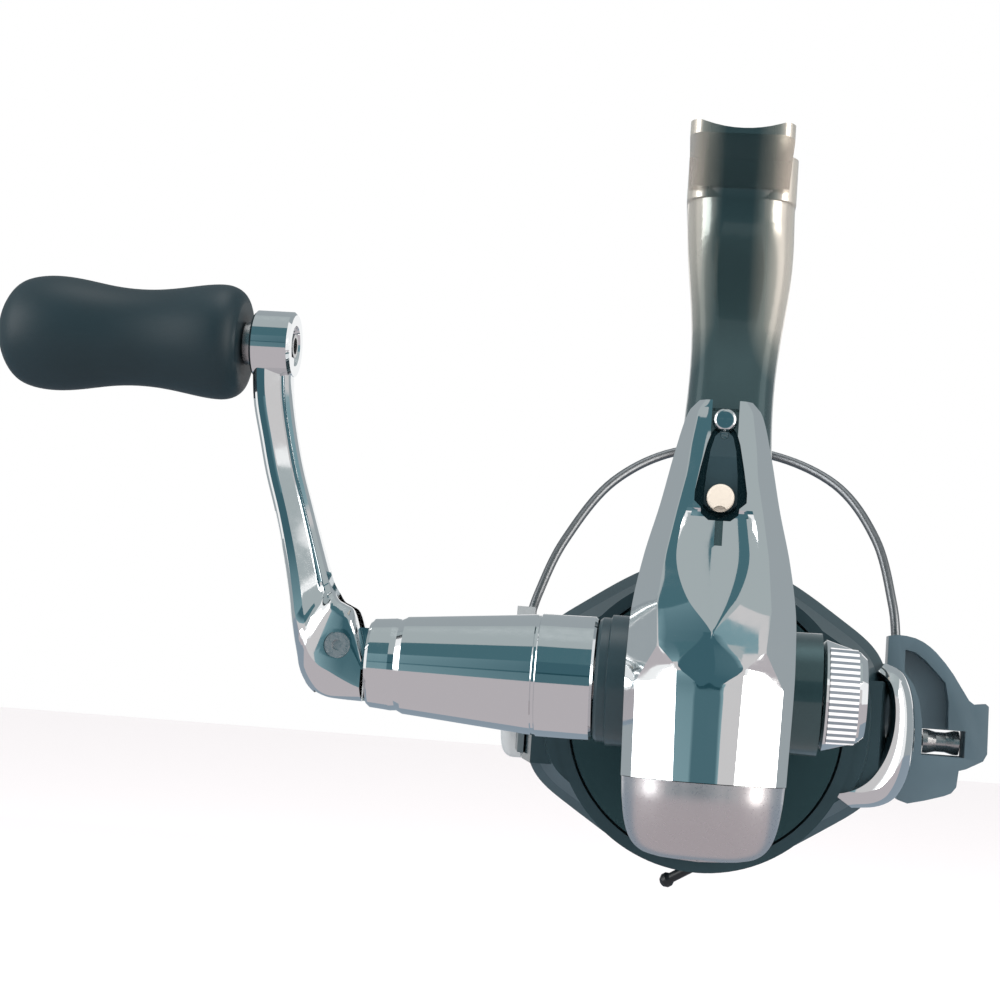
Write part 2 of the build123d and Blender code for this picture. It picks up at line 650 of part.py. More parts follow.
def trailing_arm():
    """disc on the left arm that holds the other end of the wire."""
    x1 = -ARM_OUT_X - 0.25
    arm = rod_x(9.6, x1 - 4.2, x1, BAIL_Y, SHAFT_Z)
    arm = fillet(arm.edges().sort_by(Axis.X)[0], 2.2)
    arm += slab_x([(BAIL_Y - 1, SHAFT_Z), (BAIL_Y + 7.4, SHAFT_Z), (BAIL_Y + 6.4, 13.4), (BAIL_Y + 1.6, 13.4)],
                  x1 - 3.4, x1)
    arm -= rod_x(1.25, -42, -30, BAIL_Y, SHAFT_Z) + rod_x(2.5, -42, x1 - 1.9, BAIL_Y, SHAFT_Z)
    return largest(arm - bail_wire())


WIRE_POINTS = [(35.4, 58.5, 11.4), (34.4, 60.0, 19.0), (31.0, 65.0, 31.5), (23.0, 71.5, 42.5), (9.0, 77.5, 48.6),
               (-8.0, 77.5, 48.2), (-21.0, 71.5, 40.5), (-29.5, 64.5, 27.5), (-33.6, 60.2, 16.5), (-35.4, 58.6, 9.0)]


def corner_radii(points):
    """the largest tangent arcs that the straight runs leave room for."""
    radii = []
    for before, corner, after in zip(points, points[1:], points[2:]):
        run_in = Vector(*corner) - Vector(*before)
        run_out = Vector(*after) - Vector(*corner)
        half_turn = math.radians(run_in.get_angle(run_out)) / 2
        radii.append(0.45 * min(run_in.length, run_out.length) / math.tan(half_turn))
    return radii


def bail_wire():
    path = FilletPolyline(*WIRE_POINTS, radius=corner_radii(WIRE_POINTS))
    start = Vector(*WIRE_POINTS[0])
    heading = Vector(*WIRE_POINTS[1]) - start
    return sweep(Plane(origin=start, z_dir=heading) * Circle(WIRE_R), path)


def bail_screws():
    right = screw_x(BAIL_Y, SHAFT_Z, ARM_OUT_X + 3.4, 1, 2.4, 7.4, 1.2)
    left = screw_x(BAIL_Y, SHAFT_Z, -ARM_OUT_X - 3.6, -1, 2.4, 7.6, 1.2)
    return [right, left]


def bail_spring():
    coil = Helix(pitch=1.1, height=7.7, radius=1.35)
    wire = sweep(Plane(origin=coil @ 0, z_dir=coil % 0) * Circle(0.22), coil)
    return Pos(SPRING_X, 39.0, SPRING_Z) * Rot(-90, 0, 0) * wire


def spring_rod():
    rod = rod_y(0.9, 38.1, 49.2, SPRING_X, SPRING_Z)
    return rod + rod_y(1.5, 38.05, 38.7, SPRING_X, SPRING_Z)


# ---------- spool and drag ----------

def spool():
    """skirt, line bed and front lip in one turned piece."""
    profile = [(3.0 + FIT, 53.0), (3.0 + FIT, 60.0), (12.6, 60.0), (12.6, 72.6), (13.4, 73.6), (19.5, 75.2),
               (23.0, 74.9), (LIP_R, 73.9), (LIP_R, 73.0), (22.6, 71.4), (16.2, 69.8), (16.2, 57.4),
               (22.4, 56.6), (SPOOL_R, 55.8), (SPOOL_R, 40.6), (22.2, 40.6), (22.2, 53.6), (21.0, 54.4),
               (12.0, 54.4), (11.0, 53.0)]
    return turned_y(profile)


def drag_washers(first):
    washers = []
    for i in range(first, 5, 2):
        y = 60.05 + 1.15 * i
        washers.append(ring_y(3.3, 11.8, y, y + 1.05))
    return washers


def drag_clip():
    clip = ring_y(11.4, 12.55, 66.2, 67.0)
    return clip - box(-1.6, 1.6, 60, 70, SHAFT_Z, SHAFT_Z + 14)


def drag_knob():
    """grip with a domed nose; its skirt dips into the spool."""
    profile = [(MAIN_R + 0.3, 72.5), (9.4, 72.5), (9.4, 69.4), (10.6, 69.4), (10.6, 76.4), (12.2, 77.4),
               (12.6, 79.0), (12.2, 84.0), (10.6, 86.4), (7.0, 88.2), (0, 88.8), (0, 85.5), (3.6, 85.5),
               (3.6, 79.0), (MAIN_R + 0.3, 79.0)]
    knob = turned_y(profile)
    for i in range(20):
        turn = math.radians(18 * i)
        knob -= rod_y(0.8, 77.8, 84.4, 12.9 * math.cos(turn), SHAFT_Z + 12.9 * math.sin(turn))
    return knob


def drag_nut():
    nut = Pos(0, 79.3, SHAFT_Z) * Rot(-90, 0, 0) * extrude(RegularPolygon(3.3, 6), amount=2.6)
    return nut - rod_y(MAIN_R + FIT, 70, 90)


def drag_spring():
    coil = Helix(pitch=1.2, height=4.0, radius=5.6)
    wire = sweep(Plane(origin=coil @ 0, z_dir=coil % 0) * Circle(0.4), coil)
    return Pos(0, 67.8, SHAFT_Z) * Rot(-90, 0, 0) * wire


# ---------- crank and grip ----------

def handle_collar():
    """long tapered sleeve on the axle, ending in a tongue that the crank straddles."""
    profile = [(-18.3, AXLE_R), (-18.3, 9.8), (-18.7, 10.1), (-27.4, 10.0), (-27.6, 9.7), (-28.0, 9.7),
               (-28.2, 9.85), (-49.6, 8.0), (-50.6, 7.5), (-51.6, 7.6), (-55.0, 7.3), (-55.5, 6.9),
               (-55.5, 0.0), (-52.0, 0.0), (-52.0, AXLE_R)]
    collar = turned_x(profile)
    tongue = rod_y(3.6, -2.3, 2.3, FOLD_X, FOLD_Z) + box(FOLD_X, -55.4, -2.3, 2.3, FOLD_Z - 3.6, FOLD_Z + 3.2)
    return collar + tongue - rod_y(1.3 + FIT, -5, 5, FOLD_X, FOLD_Z)


def crank_arm():
    """hub, arm and grip boss, one casting."""
    outline = [(-56.0, -6.6), (-56.0, 1.0), (-58.4, 8.9), (-62.0, 9.6), (-65.7, 19.5), (-69.2, 30.0),
               (-71.6, 40.0), (-72.4, 47.0), (-79.0, 47.0), (-78.2, 40.0), (-75.4, 30.0), (-71.9, 19.5),
               (-68.9, 8.0), (-67.8, 0.0), (-66.4, -3.8), (-63.0, -6.6)]
    arm = slab_y(outline, -6.6, 6.6)
    taper = [(-6.6, -8), (6.6, -8), (6.6, 8), (3.4, 20), (2.9, 34), (3.4, 44), (3.4, 60), (-3.4, 60), (-3.4, 44),
             (-2.9, 34), (-3.4, 20), (-6.6, 8)]
    arm = arm & slab_x(taper, -90, -50)
    arm = arm & (turned_x([(-90, 0), (-90, 7.3), (-50, 7.3), (-50, 0)]) + box(-90, -50, -7, 7, 3, 70))
    boss = turned_x([(-79.4, 0.0), (-79.4, 5.0), (-78.8, 5.7), (-73.2, 5.7), (-72.5, 5.1), (-72.5, 0.0)],
                    0, KNOB_Z)
    arm += boss
    slot = box(-64.2, -50, -2.3 - GAP, 2.3 + GAP, FOLD_Z - 12, FOLD_Z + 12)
    slot += rod_y(4.1, -2.3 - GAP, 2.3 + GAP, FOLD_X, FOLD_Z)
    arm -= slot
    arm -= box(-77.0, -73.2, 2.0, 9, 24, 44) & slab_y([(-70.5, 26), (-72.9, 42), (-76.6, 42), (-73.6, 26)], 0, 9)
    arm -= rod_y(1.3, -9, 9, FOLD_X, FOLD_Z)
    arm -= rod_y(2.2, -9, -5.4, FOLD_X, FOLD_Z) + rod_y(2.2, 5.4, 9, FOLD_X, FOLD_Z)
    return arm - rod_x(2.0, -90, -60, 0, KNOB_Z)


def fold_pin():
    pin = rod_y(1.3, -5.5, 5.5, FOLD_X, FOLD_Z) + rod_y(2.1, -6.2, -5.4, FOLD_X, FOLD_Z)
    pin += rod_y(2.1, 5.4, 6.2, FOLD_X, FOLD_Z)
    return pin - rod_y(0.9, -7, -5.6, FOLD_X, FOLD_Z)


def grip_pin():
    """shouldered pin riveted in the crank's boss."""
    pin = turned_x([(-72.6, 0.0), (-72.6, 2.0), (-79.5, 2.0), (-79.5, 3.6), (-80.9, 3.6), (-80.9, 2.2),
                    (-117.0, 2.2), (-117.0, 0.0)], 0, KNOB_Z)
    return pin - rod_x(1.4, -76.0, -70, 0, KNOB_Z) - rod_x(0.8, -118, -111, 0, KNOB_Z)


def grip_screw():
    return rod_x(3.0, -118.2, -117.0, 0, KNOB_Z) + rod_x(0.8, -117.1, -111.2, 0, KNOB_Z)


def grip():
    """waisted grip that turns on its pin."""
    end_x = -122.6
    half = [(-81.2, 6.9), (-82.0, 8.6), (-83.6, 9.5), (-86.0, 9.7), (-90.0, 9.2), (-94.5, 8.5), (-99.0, 8.2),
            (-104.0, 8.5), (-109.0, 9.3), (-113.5, 9.75), (-117.0, 9.5), (-120.0, 8.4), (end_x + 0.9, 6.6),
            (end_x, 5.0)]
    edge = Spline([(x, 0, r) for x, r in half])
    rest = Polyline((end_x, 0, 5.0), (-119.2, 0, 5.0), (-119.2, 0, 3.4), (-116.8, 0, 3.4),
                    (-116.8, 0, 2.2 + FIT), (-81.2, 0, 2.2 + FIT), (-81.2, 0, 6.9))
    face = make_face(edge + rest)
    return Pos(0, 0, KNOB_Z) * revolve(face, Axis.X)


def grip_cap():
    return turned_x([(-122.8, 0.0), (-122.75, 3.0), (-122.5, 4.9), (-119.3, 4.9), (-119.3, 0.0)], 0, KNOB_Z)


def screw_cap():
    """tapered cap that clamps the crank from the other side of the reel."""
    cap = turned_x([(17.95, 0.0), (17.95, 8.4), (18.4, 9.0), (24.0, 7.3), (25.0, 6.4), (25.4, 0.0)])
    stem_rod = rod_x(1.9, 3.0, 18.2)
    return cap + stem_rod


def cap_label():
    """plain striped sticker round part of the cap's taper."""
    sleeve = turned_x([(18.9, 8.88), (23.6, 7.46), (23.6, 7.6), (18.9, 9.02)])
    return sleeve & box(10, 30, -12, 0, -7.6, 7.6)


def side_cover_screws():
    return [screw_x(y, z, -PLATE_X, -1, 1.7, 5.4, 0.8) for y, z in side_screw_spots()]


def rear_cover_screw():
    return screw_y(0, COVER_SCREW_Z, -11.9, 1.85, 6.4, 0.75)


# ---------- export ----------

def save(node, shape):
    solids = shape if isinstance(shape, list) else [shape]
    solids = [solid for piece in solids for solid in piece.solids()]
    whole = solids[0] if len(solids) == 1 else Compound(children=solids)
    export_step(REEL_AT * whole, f"parts/{node}.step")


frame_solid = largest(body_frame())
save("body_frame", frame_solid)
save("side_cover", side_cover())
save("side_cover_screws", side_cover_screws())
save("rear_cover", rear_cover(frame_solid))
save("rear_bumper", rear_bumper(frame_solid))
save("rear_cover_screw", rear_cover_screw())
save("anti_reverse_lever", anti_reverse_lever())
save("lever_stud", lever_stud())
save("lever_pin", lever_pin())
save("axle_bearing_left", axle_bearing(-14.6))
save("axle_bearing_right", axle_bearing(13.9))
save("handle_axle", handle_axle())
save("drive_gear", drive_gear())
save("hub_gear", hub_gear())
save("oscillation_gear", oscillation_gear())
save("oscillation_pin", oscillation_pin())
save("pinion", pinion())
save("pinion_bearing", pinion_bearing())
save("one_way_clutch", one_way_clutch())
save("clutch_rollers", clutch_rollers())
save("clutch_sleeve", clutch_sleeve())
save("clutch_screws", clutch_screws())
save("main_shaft", main_shaft())
save("slider", slider())
save("slider_screw", slider_screw())
save("guide_rod", guide_rod())
save("cross_pin", cross_pin())
save("click_gear", click_gear())
save("spool_shims", spool_shims())
save("spool_bush", spool_bush())
save("rotor", rotor())
save("arm_cover", arm_cover())
save("left_arm_cover", left_arm_cover())
save("rotor_nut", rotor_nut())
save("line_peg", line_peg())
save("bail_arm", bail_arm())
save("line_roller", line_roller())
save("roller_pin", roller_pin())
save("roller_bush", roller_bush())
save("trailing_arm", trailing_arm())
save("bail_wire", bail_wire())
save("bail_screws", bail_screws())
save("bail_spring", bail_spring())
save("spring_rod", spring_rod())
save("spool", spool())
save("drag_felt_washers", drag_washers(0))
save("drag_metal_washers", drag_washers(1))
save("drag_clip", drag_clip())
save("drag_knob", drag_knob())
save("drag_nut", drag_nut())
save("drag_spring", drag_spring())
save("handle_collar", handle_collar())
save("crank_arm", crank_arm())
save("fold_pin", fold_pin())
save("grip_pin", grip_pin())
save("grip_screw", grip_screw())
save("grip", grip())
save("grip_cap", grip_cap())
save("screw_cap", screw_cap())
save("cap_label", cap_label())
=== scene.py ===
import json
import math

import bmesh
import bpy
from mathutils import Matrix, Vector


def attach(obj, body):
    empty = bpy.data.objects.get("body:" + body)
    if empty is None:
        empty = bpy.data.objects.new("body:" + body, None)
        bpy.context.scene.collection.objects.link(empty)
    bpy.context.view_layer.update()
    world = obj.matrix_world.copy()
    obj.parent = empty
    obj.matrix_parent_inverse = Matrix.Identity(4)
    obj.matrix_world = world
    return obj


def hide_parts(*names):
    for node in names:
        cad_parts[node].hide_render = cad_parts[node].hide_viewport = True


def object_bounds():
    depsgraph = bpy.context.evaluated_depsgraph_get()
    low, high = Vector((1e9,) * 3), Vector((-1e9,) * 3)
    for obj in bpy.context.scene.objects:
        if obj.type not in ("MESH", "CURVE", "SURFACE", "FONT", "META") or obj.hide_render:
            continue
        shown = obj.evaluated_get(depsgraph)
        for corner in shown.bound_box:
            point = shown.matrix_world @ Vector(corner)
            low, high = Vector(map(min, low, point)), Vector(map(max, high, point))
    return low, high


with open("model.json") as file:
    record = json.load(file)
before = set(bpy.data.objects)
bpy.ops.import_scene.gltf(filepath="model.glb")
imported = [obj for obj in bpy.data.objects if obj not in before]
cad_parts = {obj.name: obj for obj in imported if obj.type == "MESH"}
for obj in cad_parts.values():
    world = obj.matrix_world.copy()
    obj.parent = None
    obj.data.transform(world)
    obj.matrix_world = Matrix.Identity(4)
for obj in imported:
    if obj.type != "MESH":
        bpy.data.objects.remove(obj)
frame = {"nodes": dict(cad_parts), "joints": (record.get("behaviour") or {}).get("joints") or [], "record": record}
cad_box = [list(corner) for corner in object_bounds()]
NODES = frame["nodes"]

# The handle axle's place, in metres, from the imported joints.
JOINTS = {joint["name"]: joint for joint in frame["joints"]}
AXLE = Vector(JOINTS["handle_spin"]["pos_m"])
MM = 0.001


# ---------- materials ----------

def material(name, colour, metallic=0.0, roughness=0.4, **sockets):
    """a Principled material with its constants on the shader's own sockets."""
    mat = bpy.data.materials.new(name)
    mat.use_nodes = True
    shader = mat.node_tree.nodes["Principled BSDF"]
    shader.inputs["Base Color"].default_value = (*colour, 1.0)
    shader.inputs["Metallic"].default_value = metallic
    shader.inputs["Roughness"].default_value = roughness
    for socket, value in sockets.items():
        shader.inputs[socket.replace("_", " ")].default_value = value
    return mat


def noise(mat, scale, detail=3.0, stretch=(1, 1, 1)):
    """noise in object space, so that it stays with the part."""
    tree = mat.node_tree
    place = tree.nodes.new("ShaderNodeTexCoord")
    mapping = tree.nodes.new("ShaderNodeMapping")
    mapping.inputs["Scale"].default_value = stretch
    texture = tree.nodes.new("ShaderNodeTexNoise")
    texture.inputs["Scale"].default_value = scale
    texture.inputs["Detail"].default_value = detail
    tree.links.new(place.outputs["Object"], mapping.inputs["Vector"])
    tree.links.new(mapping.outputs["Vector"], texture.inputs["Vector"])
    return texture.outputs["Fac"]


def bump(mat, height, strength, distance):
    """tilts the shader's normal by a height."""
    tree = mat.node_tree
    node = tree.nodes.new("ShaderNodeBump")
    node.inputs["Strength"].default_value = strength
    node.inputs["Distance"].default_value = distance
    tree.links.new(height, node.inputs["Height"])
    tree.links.new(node.outputs["Normal"], tree.nodes["Principled BSDF"].inputs["Normal"])


def ramp(mat, fac, stops, socket):
    """drives a socket of the shader from fac through a colour ramp."""
    tree = mat.node_tree
    node = tree.nodes.new("ShaderNodeValToRGB")
    elements = node.color_ramp.elements
    while len(elements) < len(stops):
        elements.new(0.5)
    for element, (place, colour) in zip(elements, stops):
        element.position = place
        element.color = (*colour, 1.0)
    tree.links.new(fac, node.inputs["Fac"])
    tree.links.new(node.outputs["Color"], tree.nodes["Principled BSDF"].inputs[socket])


def grey(value):
    return (value, value, value)


def plated(name, colour, low, high, scale=900.0):
    """plated metal, its polish varying a little from place to place."""
    mat = material(name, colour, 1.0, low)
    ramp(mat, noise(mat, scale), [(0.3, grey(low)), (0.75, grey(high))], "Roughness")
    return mat


def moulded(name, colour, roughness, grain, coat=0.0):
    """moulded plastic with a fine grain and a slight change of tone."""
    mat = material(name, colour, 0.0, roughness, Coat_Weight=coat, Coat_Roughness=0.08,
                   Specular_IOR_Level=0.35)
    darker = tuple(c * 0.82 for c in colour)
    ramp(mat, noise(mat, 60.0), [(0.3, darker), (0.7, colour)], "Base Color")
    bump(mat, noise(mat, 5200.0, 2.0), grain, 0.00005)
    return mat


def brushed(name, colour, roughness, stretch):
    """drawn or ground steel with fine lines along one direction."""
    mat = material(name, colour, 1.0, roughness)
    lines = noise(mat, 1400.0, 2.0, stretch)
    ramp(mat, lines, [(0.3, grey(roughness * 0.8)), (0.7, grey(roughness * 1.4))], "Roughness")
    bump(mat, lines, 0.08, 0.00003)
    return mat


def make_materials():
    """every material by the record's material slot, and the wire's own."""
    return {
        "chrome": plated("bright_chrome", (0.83, 0.85, 0.86), 0.035, 0.075),
        "satin_chrome": plated("satin_chrome", (0.70, 0.68, 0.69), 0.26, 0.36, 2600.0),
        # this slot's colour holds a painted warm reflection on the stem's flanks
        "pearl_paint": pearl_paint(),
        "dark_plastic": moulded("dark_plastic", (0.022, 0.045, 0.055), 0.30, 0.10, 0.15),
        "grey_plastic": moulded("grey_plastic", (0.085, 0.135, 0.165), 0.38, 0.15),
        "light_plastic": moulded("light_plastic", (0.42, 0.45, 0.46), 0.36, 0.12),
        "black_plastic": moulded("black_plastic", (0.010, 0.013, 0.016), 0.35, 0.10),
        "soft_grip": moulded("soft_grip", (0.004, 0.020, 0.028), 0.50, 0.35),
        "knob_plastic": moulded("knob_plastic", (0.040, 0.066, 0.080), 0.28, 0.10, 0.4),
        "pearl_stud": moulded("pearl_stud", (0.62, 0.56, 0.48), 0.30, 0.05, 0.2),
        "label": label_film(),
        "steel": brushed("bright_steel", (0.50, 0.50, 0.50), 0.24, (1, 1, 6)),
        "wire": brushed("wire_steel", (0.20, 0.21, 0.22), 0.34, (1, 1, 6)),
        "brass": plated("machined_brass", (0.75, 0.56, 0.26), 0.18, 0.26),
        "zinc": plated("die_cast_zinc", (0.55, 0.56, 0.57), 0.32, 0.42, 2200.0),
        "nylon": moulded("white_nylon", (0.78, 0.77, 0.73), 0.42, 0.08),
        "felt": felt(),
    }


# the painted warm reflection on the stem: the half width where it is full, the height it fades in over, and the
# height where it starts
PAINTED_REFLECTION_HALF_WIDTH = 8.5 * MM
PAINTED_REFLECTION_FADE = 16 * MM
PAINTED_REFLECTION_LOW_Z = AXLE.z + 44 * MM


def pearl_paint():
    """teal metallic lacquer, with a painted warm reflection that grows towards its flanks and up the stem."""
    mat = material("pearl_paint", (0.05, 0.09, 0.10), 0.7, 0.22, Coat_Weight=0.6, Coat_Roughness=0.05)
    tree = mat.node_tree
    axes = object_axes(tree)
    out_from_middle = math_node(tree, "ABSOLUTE", axes["X"])
    share_out = math_node(tree, "MULTIPLY", out_from_middle, 1 / PAINTED_REFLECTION_HALF_WIDTH)
    flank = math_node(tree, "SMOOTH_MIN", share_out, 1.0)
    up = math_node(tree, "MULTIPLY_ADD", axes["Z"], 1 / PAINTED_REFLECTION_FADE)
    up.node.inputs[2].default_value = -PAINTED_REFLECTION_LOW_Z / PAINTED_REFLECTION_FADE
    up.node.use_clamp = True
    # the ramp runs from the lacquer's own teal to a painted warm reflection on the flanks
    stops = [(0.30, (0.045, 0.085, 0.092)), (0.62, (0.22, 0.24, 0.22)), (0.95, (0.72, 0.66, 0.58))]
    ramp(mat, math_node(tree, "MULTIPLY", flank, up), stops, "Base Color")
    bump(mat, noise(mat, 7000.0, 1.0), 0.05, 0.00003)
    return mat


def object_axes(tree):
    """the X, Y and Z of a point in object space."""
    place = tree.nodes.new("ShaderNodeTexCoord")
    axes = tree.nodes.new("ShaderNodeSeparateXYZ")
    tree.links.new(place.outputs["Object"], axes.inputs["Vector"])
    return axes.outputs


def math_node(tree, operation, value, other=None):
    """one step of arithmetic on a socket; other is a socket or a number."""
    node = tree.nodes.new("ShaderNodeMath")
    node.operation = operation
    tree.links.new(value, node.inputs[0])
    if hasattr(other, "node"):
        tree.links.new(other, node.inputs[1])
    elif other is not None:
        node.inputs[1].default_value = other
    return node.outputs[0]


def label_film():
    """printed film with even grey stripes."""
    mat = material("label_film", (0.80, 0.80, 0.80), 0.0, 0.35)
    tree = mat.node_tree
    place = tree.nodes.new("ShaderNodeTexCoord")
    wave = tree.nodes.new("ShaderNodeTexWave")
    wave.bands_direction = "Z"
    wave.inputs["Scale"].default_value = 330.0
    tree.links.new(place.outputs["Object"], wave.inputs["Vector"])
    ramp(mat, wave.outputs["Fac"], [(0.45, (0.16, 0.19, 0.22)), (0.55, (0.80, 0.80, 0.81))], "Base Color")
    return mat


def felt():
    """matt felt with a coarse nap."""
    mat = material("oiled_felt", (0.30, 0.28, 0.25), 0.0, 0.9, Sheen_Weight=0.4)
    bump(mat, noise(mat, 3000.0), 0.5, 0.0002)
    return mat


def dress_nodes(mats):
    """gives each CAD part the material of its slot in the record."""
    for part in frame["record"]["subparts"]:
        node = NODES[part["node"]]
        node.data.materials.clear()
        node.data.materials.append(mats[part["material_slot"]])


# ---------- camera and light ----------

CAMERA_AT = AXLE + Vector((-1.9, -314.5, -2.2)) * MM
CAMERA_YAW = math.radians(6.2)
CAMERA_PITCH = math.radians(5.5)
CAMERA_ROLL = math.radians(4.2)
CAMERA_LENS = 69.16


def add_camera():
    """the camera that stands where the photo was taken from."""
    data = bpy.data.cameras.new("camera")
    data.lens = CAMERA_LENS
    data.sensor_width = 36.0
    data.clip_start = 0.01
    camera = bpy.data.objects.new("camera", data)
    turn = Matrix.Rotation(CAMERA_YAW, 4, "Z") @ Matrix.Rotation(math.pi / 2 + CAMERA_PITCH, 4, "X")
    camera.matrix_world = Matrix.Translation(CAMERA_AT) @ turn @ Matrix.Rotation(CAMERA_ROLL, 4, "Z")
    bpy.context.scene.collection.objects.link(camera)
    bpy.context.scene.camera = camera


def area_light(name, at, size, power, colour=(1, 1, 1)):
    """a rectangular light turned towards the middle of the reel."""
    data = bpy.data.lights.new(name, "AREA")
    data.shape = "RECTANGLE"
    data.size = size[0]
    data.size_y = size[1]
    data.energy = power
    data.color = colour
    light = bpy.data.objects.new(name, data)
    light.location = at
    light.rotation_euler = (LIGHT_AIM - Vector(at)).to_track_quat("-Z", "Y").to_euler()
    bpy.context.scene.collection.objects.link(light)


def card(name, corners, inner, outer=None):
    """a glowing panel that only the reflections see; outer is its colour towards its ends in X."""
    mesh = bpy.data.meshes.new(name)
    mesh.from_pydata(corners, [], [range(len(corners))])
    panel = bpy.data.objects.new(name, mesh)
    mat = bpy.data.materials.new(name)
    mat.use_nodes = True
    tree = mat.node_tree
    tree.nodes.clear()
    glow = tree.nodes.new("ShaderNodeEmission")
    glow.inputs["Color"].default_value = (*inner, 1.0)
    if outer:
        tree.links.new(card_fade(tree, max(x for x, y, z in corners), inner, outer), glow.inputs["Color"])
    out = tree.nodes.new("ShaderNodeOutputMaterial")
    tree.links.new(glow.outputs["Emission"], out.inputs["Surface"])
    mesh.materials.append(mat)
    bpy.context.scene.collection.objects.link(panel)
    panel.visible_camera = False
    panel.visible_shadow = False
    panel.visible_diffuse = False
    return panel


def card_fade(tree, half_width, inner, outer):
    """a colour that goes from inner to outer as X nears half_width."""
    out_from_middle = math_node(tree, "ABSOLUTE", object_axes(tree)["X"])
    share = math_node(tree, "DIVIDE", out_from_middle, half_width)
    fade = tree.nodes.new("ShaderNodeValToRGB")
    fade.color_ramp.elements[0].position = 0.40
    fade.color_ramp.elements[0].color = (*inner, 1.0)
    fade.color_ramp.elements[1].position = 0.95
    fade.color_ramp.elements[1].color = (*outer, 1.0)
    tree.links.new(share, fade.inputs["Fac"])
    return fade.outputs["Color"]


def ruled_corners(half_width, near, far):
    """corners of a rectangle across X between two levels (y, z)."""
    return [(x, y, z) for (y, z), sides in ((near, (-1, 1)), (far, (1, -1)))
            for x in (side * half_width for side in sides)]


# The room of cards, in metres.
ROOM_Y = -1.3
WALL_SHIFT = -0.10
WALL_HALF = 0.52
WALL_LOW, WALL_MIDDLE, WALL_LINE, WALL_TOP = -0.42, -0.06, 0.0, 0.48
PALE_WALL_OUT = 1.1
SIDE_WALL_OUT = 1.15
SIDE_WALL_Y, SIDE_WALL_Z = (0.12, 1.6), (-0.5, 0.9)
CEILING_TOP = (0.3, 1.1)
FLOOR_DROP = 0.10
FLOOR_Z = cad_box[0][2] - FLOOR_DROP
FLOOR_HALF = 4.0
GROUND_EDGE = (0.06, FLOOR_Z + 0.01)
LIGHT_AIM = Vector((-0.03, -0.02, -0.07))


def wall_band(name, low, high, inner, outer):
    """a part of the wall behind the camera, between two heights."""
    band = card(name, ruled_corners(WALL_HALF, (ROOM_Y, low), (ROOM_Y, high)), inner, outer)
    band.location.x = WALL_SHIFT


def add_world():
    """plain white light from all round, with whites left as they are."""
    world = bpy.data.worlds.new("studio")
    bpy.context.scene.world = world
    world.use_nodes = True
    world.node_tree.nodes["Background"].inputs["Color"].default_value = (1.0, 1.0, 1.0, 1.0)
    world.node_tree.nodes["Background"].inputs["Strength"].default_value = 1.0
    bpy.context.scene.view_settings.view_transform = "Standard"


def add_floor():
    """a pale floor that the reflections don't see."""
    r, z = FLOOR_HALF, FLOOR_Z
    mesh = bpy.data.meshes.new("floor")
    mesh.from_pydata([(-r, -r, z), (r, -r, z), (r, r, z), (-r, r, z)], [], [(0, 1, 2, 3)])
    floor = bpy.data.objects.new("floor", mesh)
    mesh.materials.append(material("pale_floor", (0.93, 0.90, 0.91), 0.0, 0.8))
    bpy.context.scene.collection.objects.link(floor)
    floor.visible_glossy = False


def add_cards():
    """the dark, grey and pale surroundings that the chrome reflects."""
    wall_band("dark_room_low", WALL_LOW, WALL_MIDDLE, (0.075, 0.16, 0.19), (0.24, 0.38, 0.42))
    wall_band("dark_line", WALL_MIDDLE, WALL_LINE, (0.02, 0.07, 0.09), (0.12, 0.24, 0.28))
    wall_band("dark_room", WALL_LINE, WALL_TOP, (0.05, 0.125, 0.155), (0.22, 0.36, 0.40))
    card("ceiling", ruled_corners(0.85, (ROOM_Y, WALL_TOP), CEILING_TOP), (0.42, 0.47, 0.48))
    card("far_ceiling", ruled_corners(1.2, CEILING_TOP, (1.6, 0.4)), (0.36, 0.40, 0.42))
    card("dark_tall", [(-0.62, ROOM_Y, 0.47), (-0.11, ROOM_Y, 0.47), (-0.055, -0.62, 0.735),
                       (-0.4, -0.62, 0.735)], (0.07, 0.16, 0.19))
    for side in (-1, 1):
        near, far = WALL_SHIFT + side * WALL_HALF, side * PALE_WALL_OUT
        edges = [(near, WALL_LOW), (far, WALL_LOW), (far, WALL_TOP), (near, WALL_TOP)]
        card("pale_wall", [(x, ROOM_Y, z) for x, z in edges], (0.66, 0.64, 0.64))
        (y0, y1), (z0, z1) = SIDE_WALL_Y, SIDE_WALL_Z
        edges = [(y0, z0), (y1, z0), (y1, z1), (y0, z1)]
        card("grey_wall", [(side * SIDE_WALL_OUT, y, z) for y, z in edges], (0.36, 0.40, 0.42))
    card("ground", ruled_corners(1.0, (ROOM_Y, WALL_LOW), GROUND_EDGE), (0.52, 0.48, 0.50))
    card("far_ground", ruled_corners(1.0, GROUND_EDGE, (1.2, GROUND_EDGE[1])), (0.28, 0.34, 0.40))


def add_lights():
    """one soft box on each side and one above."""
    area_light("left_box", (-0.85, -0.55, 0.15), (0.5, 0.8), 5.0)
    area_light("right_box", (0.85, -0.50, 0.10), (0.5, 0.8), 5.0, (1.0, 0.95, 0.90))
    area_light("top_box", (0.0, -0.1, 1.5), (0.8, 0.8), 9.0)


def add_studio():
    add_world()
    add_floor()
    add_cards()
    add_lights()


# ---------- mesh tools ----------

def about_axle(x, y, z):
    """the place in the frame, in metres, of a point given in millimetres about the handle axle."""
    return AXLE + Vector((x, y, z)) * MM


def mesh_object(name, points, faces):
    """a new object from points about the handle axle."""
    mesh = bpy.data.meshes.new(name)
    mesh.from_pydata([about_axle(*p) for p in points], [], faces)
    mesh.validate()
    piece = bpy.data.objects.new(name, mesh)
    bpy.context.scene.collection.objects.link(piece)
    return piece


